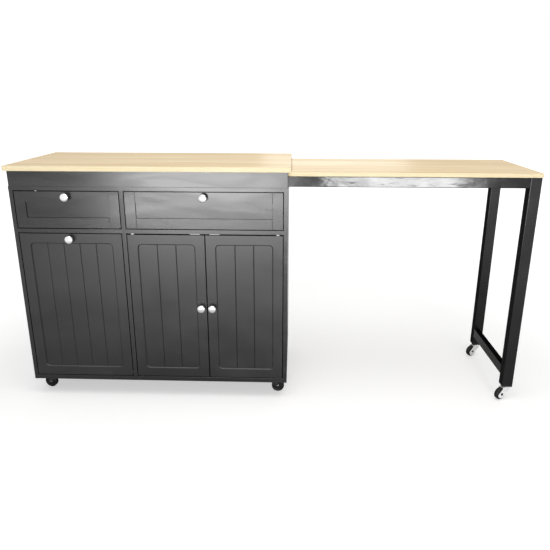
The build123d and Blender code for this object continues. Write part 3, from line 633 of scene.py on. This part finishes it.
def add_yoke(form, place, trail, radius, kind):
    """The pressed sheet, in columns, narrowing from the crown to a round boss at the axle."""
    boss = kind["boss"]
    outer = kind["width"] / 2 + CHEEK_GAP + CAD_WALL
    knee = kind["crown"] - CAD_WALL - SHOULDER
    last = COLUMNS - 1
    rows = []
    for across, height in yoke_section(outer, kind["crown"], radius - boss * BOSS_FOOT):
        if height > knee:
            low, high = -kind["back"], kind["front"]
        elif height > radius:
            share = (knee - height) / (knee - radius)
            ease = share ** kind["sweep"]
            low = -kind["back"] + (trail - boss + kind["back"]) * ease
            high = kind["front"] + (trail + boss - kind["front"]) * share
        else:
            reach = (boss**2 - (radius - height) ** 2) ** 0.5
            low, high = trail - reach, trail + reach
        reaches = [low + (high - low) * n / last for n in range(COLUMNS)]
        rows.append([Vector((reach, across, height)) for reach in reaches])
    inner = []
    for row in rows:
        inset = []
        for point in row:
            side = Vector((0, point.y, max(point.z - knee + SHOULDER, 0) * SHOULDER_TURN))
            inset.append(point - side.normalized() * YOKE_WALL)
        inner.append(inset)
    outside = [[form.verts.new(place @ point) for point in row] for row in rows]
    inside = [[form.verts.new(place @ point) for point in row] for row in inner]
    for n in range(len(rows) - 1):
        out, next_out = outside[n], outside[n + 1]
        within, next_within = inside[n], inside[n + 1]
        for m in range(last):
            form.faces.new((out[m], out[m + 1], next_out[m + 1], next_out[m]))
            form.faces.new((within[m], next_within[m], next_within[m + 1], within[m + 1]))
        for m in (0, last):
            form.faces.new((out[m], next_out[m], next_within[m], within[m]))
    for out, within in ((outside[0], inside[0]), (outside[-1], inside[-1])):
        for m in range(last):
            form.faces.new((out[m], out[m + 1], within[m + 1], within[m]))


def add_wheel(form, place, radius, width, bore):
    """Tyre with rounded shoulders and a seam, a recessed web and a raised hub."""
    half = width / 2
    side = [(half + HUB_PROUD, bore)]
    side += [(half - inset, radius * share) for inset, share in WHEEL_SIDE]
    side += arc((half - TYRE_ROUND, radius - TYRE_ROUND), TYRE_ROUND, 0, 80, 5)
    tread = [(half * TREAD_FLAT, radius), (SEAM_WIDTH, radius), (0, radius - SEAM_DEPTH)]
    profile = side + tread + [(-height, r) for height, r in reversed(side + tread[:-1])]
    turn_profile(form, profile, place, 64, ring=True)


def add_axle(form, place, half, axle):
    """The axle, with a domed rivet head on one side and a washer and hexagon nut on the other."""
    seat = -half - RIVET_SEAT
    head = axle + RIVET_MARGIN
    rivet = [(half, 0), (half, axle), (seat, axle), (seat, head)]
    rivet += [(seat - RIVET_DOME * sin(t * pi / 8), head * cos(t * pi / 8)) for t in range(1, 4)]
    turn_profile(form, rivet + [(-half - RIVET_HEIGHT, 0)], place, 32)
    rim = axle + WASHER_MARGIN
    top = half + WASHER_THICKNESS
    turn_profile(form, [(half, axle), (half, rim), (top, rim), (top, axle)], place, 32, ring=True)
    corner = axle + NUT_MARGIN
    outline = [(corner * cos(radians(60 * n)), corner * sin(radians(60 * n))) for n in range(6)]
    prism(form, outline, place @ Matrix.Translation((0, 0, top)), NUT_THICKNESS)
    end = half + AXLE_PROUD
    turn_profile(form, [(half, 0), (half, axle * 0.7), (end, axle * 0.62), (end, 0)], place, 24)


for name in [entry for entry in frame["bodies"] if entry + "_roll" in frame["bodies"]]:
    swivel = Vector(joints[name + "_swivel"]["pos_m"])
    turn = Vector(joints[name + "_turn"]["pos_m"])
    under = joints[name + "_swivel"]["parent"]
    kind = castor_kinds[under]
    ahead = Vector((turn.x - swivel.x, turn.y - swivel.y, 0))
    trail = ahead.length
    ahead.normalize()
    across = Vector((-ahead.y, ahead.x, 0))
    heading = Matrix((ahead, across, (0, 0, 1))).transposed().to_4x4()
    upright = Matrix.Translation((swivel.x, swivel.y, 0)) @ heading
    axle_place = axis_frame(turn, across)
    radius = turn.z
    half = kind["width"] / 2 + CHEEK_GAP + CAD_WALL
    form = bmesh.new()
    add_yoke(form, upright, trail, radius, kind)
    add_axle(form, axle_place, half, kind["axle"])
    top = kind["crown"]
    if under == "table":
        stem = [(top + height, around) for height, around in STEM] + list(STEM_END)
        turn_profile(form, stem, upright, 40)
    else:
        cup = [(top + height, around) for height, around in CUP]
        turn_profile(form, cup, upright, 40, ring=True)
    yoke = finish_piece(form, name + "_yoke", kind["slot"], name, (name + "_fork",), edge_angle=40)
    if under == "cabinet":
        yoke.data.materials[0] = yoke_black
    else:
        outside = half + OUTSIDE_CHEEK

        def axle_end(centre, normal):
            """The rivet and the nut stand outside the cheeks and below the wheel's top."""
            return abs((centre - turn).dot(across)) > outside and centre.z < 2 * radius

        assign_faces(yoke, dark_nut_and_pivot_shade, axle_end)
    form = bmesh.new()
    add_wheel(form, axle_place, radius, kind["width"], kind["axle"] + AXLE_FIT)
    wheel = name + "_wheel"
    finish_piece(
        form, name + "_tyred_wheel", "wheel_black", name + "_roll", (wheel,), edge_angle=28
    )

# Small fittings: screws in the castor plates and a nylon bumper on the left drawer

# The screw's recess in shares of the head's height and radius
SCREW_WELL = ((1, 0.5), (1, 0.42), (0.55, 0.14), (0.5, 0))

# The head's rim and the star's floor and depth, in shares of the height
HEAD_RIM = 0.3
STAR_FLOOR = 0.6
STAR_DEPTH = 0.32

# Half the length and width of the star's arm, in shares of the head's radius
STAR_ARM = (0.34, 0.07)


def pan_head(form, origin, direction, radius, height):
    """A cross-recessed pan head: a shallow dome on a short rim, with a star sunk in its top."""
    place = axis_frame(origin, direction)
    profile = [(0, 0), (0, radius), (height * HEAD_RIM, radius)]
    for n in range(1, 4):
        rise = HEAD_RIM + 0.7 * sin(n * pi / 8)
        profile.append((height * rise, radius * (1 - 0.45 * (n / 4) ** 2)))
    profile += [(height * rise, radius * share) for rise, share in SCREW_WELL]
    turn_profile(form, profile, place, 20)
    long, thin = radius * STAR_ARM[0], radius * STAR_ARM[1]
    for turn in (0, 90):
        outline = [(-long, -thin), (long, -thin), (long, thin), (-long, thin)]
        turned = place @ Matrix.Rotation(radians(turn), 4, "Z")
        sunk = turned @ Matrix.Translation((0, 0, height * STAR_FLOOR))
        prism(form, outline, sunk, height * STAR_DEPTH)


BUMPER_PLACE = (-0.8516, -0.2250)
BUMPER_RADIUS = 0.0036
BUMPER_HEIGHT = 0.0021
BUMPER_SUNK = 0.0005
PLATE_SCREWS = (0.022, 0.0155)
PLATE_SCREW_HEAD = (0.0035, 0.0020)
PLATE_THICKNESS = 0.0025

# The bumper's side, in shares of its height and radius
BUMPER_SIDE = ((0, 1), (0.6, 1), (0.9, 0.86), (1, 0.6), (1, 0))

drawer_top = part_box("drawer_left_front")[1].z
form = bmesh.new()
pad = [(-BUMPER_SUNK, 0), (-BUMPER_SUNK, BUMPER_RADIUS - 0.0002)]
pad += [(BUMPER_HEIGHT * rise, BUMPER_RADIUS * share) for rise, share in BUMPER_SIDE]
turn_profile(form, pad, Matrix.Translation((*BUMPER_PLACE, drawer_top)), 28)
finish_piece(form, "drawer_bumper", "white_plastic", "drawer_left")

form = bmesh.new()
plate_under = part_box("bottom_board")[0].z - PLATE_THICKNESS
for name in ("castor_front_left", "castor_front_right", "castor_back_left", "castor_back_right"):
    x, y, _ = joints[name + "_swivel"]["pos_m"]
    for across in (-1, 1):
        for along in (-1, 1):
            corner = (x + across * PLATE_SCREWS[0], y + along * PLATE_SCREWS[1], plate_under)
            pan_head(form, corner, (0, 0, -1), *PLATE_SCREW_HEAD)
finish_piece(form, "castor_plate_screws", "steel", "cabinet", edge_angle=40)

# Floor: a glow for the camera that fades under things, a painted contact shadow, plus the lamps'
# real light

FLOOR_SIZE = 30
FLOOR_COLOUR = (0.88, 0.88, 0.87)
FLOOR_SEEN = (0.58, 0.58, 0.575)
FLOOR_IN_GLOSS = (0.5, 0.5, 0.5)
FLOOR_ROUGHNESS = 0.7
FLOOR_SPECULAR = 0.2
FLOOR_GLOW = 0.56
FLOOR_NEAR = 1.2
FLOOR_FAR = 3.5
CONTACT_REACH = 0.12
CONTACT_FADE = 0.13
SHEEN_NEAR = 0.4
SHEEN_FAR = 1.7
SHEEN_STRETCH = (0.4, 1, 1)
AMBIENT = 0.35


def maths(tree, operation, first, second):
    """One Math node of two values."""
    node = tree.nodes.new("ShaderNodeMath")
    node.operation = operation
    tree.links.new(first, node.inputs[0])
    tree.links.new(second, node.inputs[1])
    return node.outputs[0]


def ray_value(tree, *names):
    """1 for rays of the named kinds, else 0."""
    path = tree.nodes.new("ShaderNodeLightPath")
    value = path.outputs[names[0]]
    for name in names[1:]:
        value = maths(tree, "MAXIMUM", value, path.outputs[name])
    return value


def distance(tree, vector):
    """The length of a vector."""
    node = tree.nodes.new("ShaderNodeVectorMath")
    node.operation = "LENGTH"
    tree.links.new(vector, node.inputs[0])
    return node.outputs["Value"]


floor_mesh = bmesh.new()
bmesh.ops.create_grid(floor_mesh, x_segments=8, y_segments=8, size=FLOOR_SIZE / 2)
floor_data = bpy.data.meshes.new("floor")
floor_mesh.to_mesh(floor_data)
floor_mesh.free()
floor = bpy.data.objects.new("floor", floor_data)
scene.collection.objects.link(floor)

floor_material = bpy.data.materials.new("studio_floor")
floor_material.use_nodes = True
tree = floor_material.node_tree
shader = tree.nodes["Principled BSDF"]
shader.inputs["Roughness"].default_value = FLOOR_ROUGHNESS
shader.inputs["Specular IOR Level"].default_value = FLOOR_SPECULAR
place = tree.nodes.new("ShaderNodeTexCoord").outputs["Object"]

# The lamps' light: one colour for the camera, one for glossy surfaces and one for all else; the
# glossy one is darker, painted shade in what the object reflects near it
lit = blend_colour(tree, ray_value(tree, "Is Camera Ray"), FLOOR_COLOUR, FLOOR_SEEN)
base = blend_colour(tree, ray_value(tree, "Is Glossy Ray"), lit, FLOOR_IN_GLOSS)
tree.links.new(base, shader.inputs["Base Color"])

# In glossy surfaces it turns into an even glow with distance
away = distance(tree, stretched(tree, place, SHEEN_STRETCH))
sheen = remap(tree, away, SHEEN_NEAR, SHEEN_FAR, 0, 1)
mirrored = maths(tree, "MULTIPLY", sheen, ray_value(tree, "Is Glossy Ray"))
mirror_glow = tree.nodes.new("ShaderNodeEmission")
mix = tree.nodes.new("ShaderNodeMixShader")
tree.links.new(mirrored, mix.inputs[0])
tree.links.new(shader.outputs["BSDF"], mix.inputs[1])
tree.links.new(mirror_glow.outputs["Emission"], mix.inputs[2])

# The glow that the camera sees rises with distance and fades close under things: a painted contact
# shadow
open_sky = tree.nodes.new("ShaderNodeAmbientOcclusion")
open_sky.inputs["Distance"].default_value = CONTACT_REACH
fade = tree.nodes.new("ShaderNodeMath")
fade.operation = "POWER"
fade.inputs[1].default_value = CONTACT_FADE
tree.links.new(open_sky.outputs["AO"], fade.inputs[0])
seen = remap(tree, distance(tree, place), FLOOR_NEAR, FLOOR_FAR, FLOOR_GLOW, 1)
seen = maths(tree, "MULTIPLY", seen, fade.outputs[0])
seen = maths(tree, "MULTIPLY", seen, ray_value(tree, "Is Camera Ray", "Is Transmission Ray"))
glow = tree.nodes.new("ShaderNodeEmission")
tree.links.new(seen, glow.inputs["Strength"])

both = tree.nodes.new("ShaderNodeAddShader")
tree.links.new(mix.outputs["Shader"], both.inputs[0])
tree.links.new(glow.outputs["Emission"], both.inputs[1])
tree.links.new(both.outputs["Shader"], tree.nodes["Material Output"].inputs["Surface"])
floor.data.materials.append(floor_material)

# White surroundings for the camera and mirrors, and a dimmer even light for all else

world = bpy.data.worlds.new("studio")
world.use_nodes = True
scene.world = world
tree = world.node_tree
background = tree.nodes["Background"]
background.inputs["Color"].default_value = (1, 1, 1, 1)
white_ray = ray_value(tree, "Is Camera Ray", "Is Glossy Ray", "Is Transmission Ray")
tree.links.new(remap(tree, white_ray, 0, 1, AMBIENT, 1), background.inputs["Strength"])

# Lamps


def softbox(name, place, target, size, power):
    """A rectangular area light aimed at a point; its power is in watts."""
    data = bpy.data.lights.new(name, "AREA")
    data.shape = "RECTANGLE"
    data.size, data.size_y = size
    data.energy = power
    lamp = bpy.data.objects.new(name, data)
    lamp.location = place
    lamp.rotation_euler = (Vector(target) - Vector(place)).to_track_quat("-Z", "Y").to_euler()
    scene.collection.objects.link(lamp)


softbox("overhead", (0.2, -0.5, 2.9), (0, 0, 0.9), (2.8, 2.0), 44.5)
softbox("back", (0.42, 2.6, 1.25), (0.2, 0, 0.9), (1.2, 0.4), 3.4)
softbox("front_left", (-0.733, -3.3, 0.389), (-0.29, -0.2, 0.6), (1.59, 0.85), 44)
softbox("front_right", (1.0, -3.3, 0.43), (0.4, -0.2, 0.6), (1.2, 0.4), 55.5)

# Camera, fitted to the photo: angles in radians, lens and sensor in millimetres

CAMERA_PLACE = Vector((0.08182, -2.22948, 1.16589))
CAMERA_YAW = 0.03351
CAMERA_PITCH = -0.31363
CAMERA_ROLL = 0.00171
CAMERA_LENS = 36.96
CAMERA_SENSOR = 36

reach = cos(CAMERA_PITCH)
forward = Vector((-sin(CAMERA_YAW) * reach, cos(CAMERA_YAW) * reach, sin(CAMERA_PITCH)))
level = Vector((cos(CAMERA_YAW), sin(CAMERA_YAW), 0))
upright = level.cross(forward)
right = level * cos(CAMERA_ROLL) + upright * sin(CAMERA_ROLL)
above = upright * cos(CAMERA_ROLL) - level * sin(CAMERA_ROLL)
camera_data = bpy.data.cameras.new("camera")
camera_data.lens = CAMERA_LENS
camera_data.sensor_width = CAMERA_SENSOR
camera = bpy.data.objects.new("camera", camera_data)
facing = Matrix((right, above, -forward)).transposed().to_4x4()
camera.matrix_world = Matrix.Translation(CAMERA_PLACE) @ facing
scene.collection.objects.link(camera)
scene.camera = camera

scene.view_settings.view_transform = "Standard"
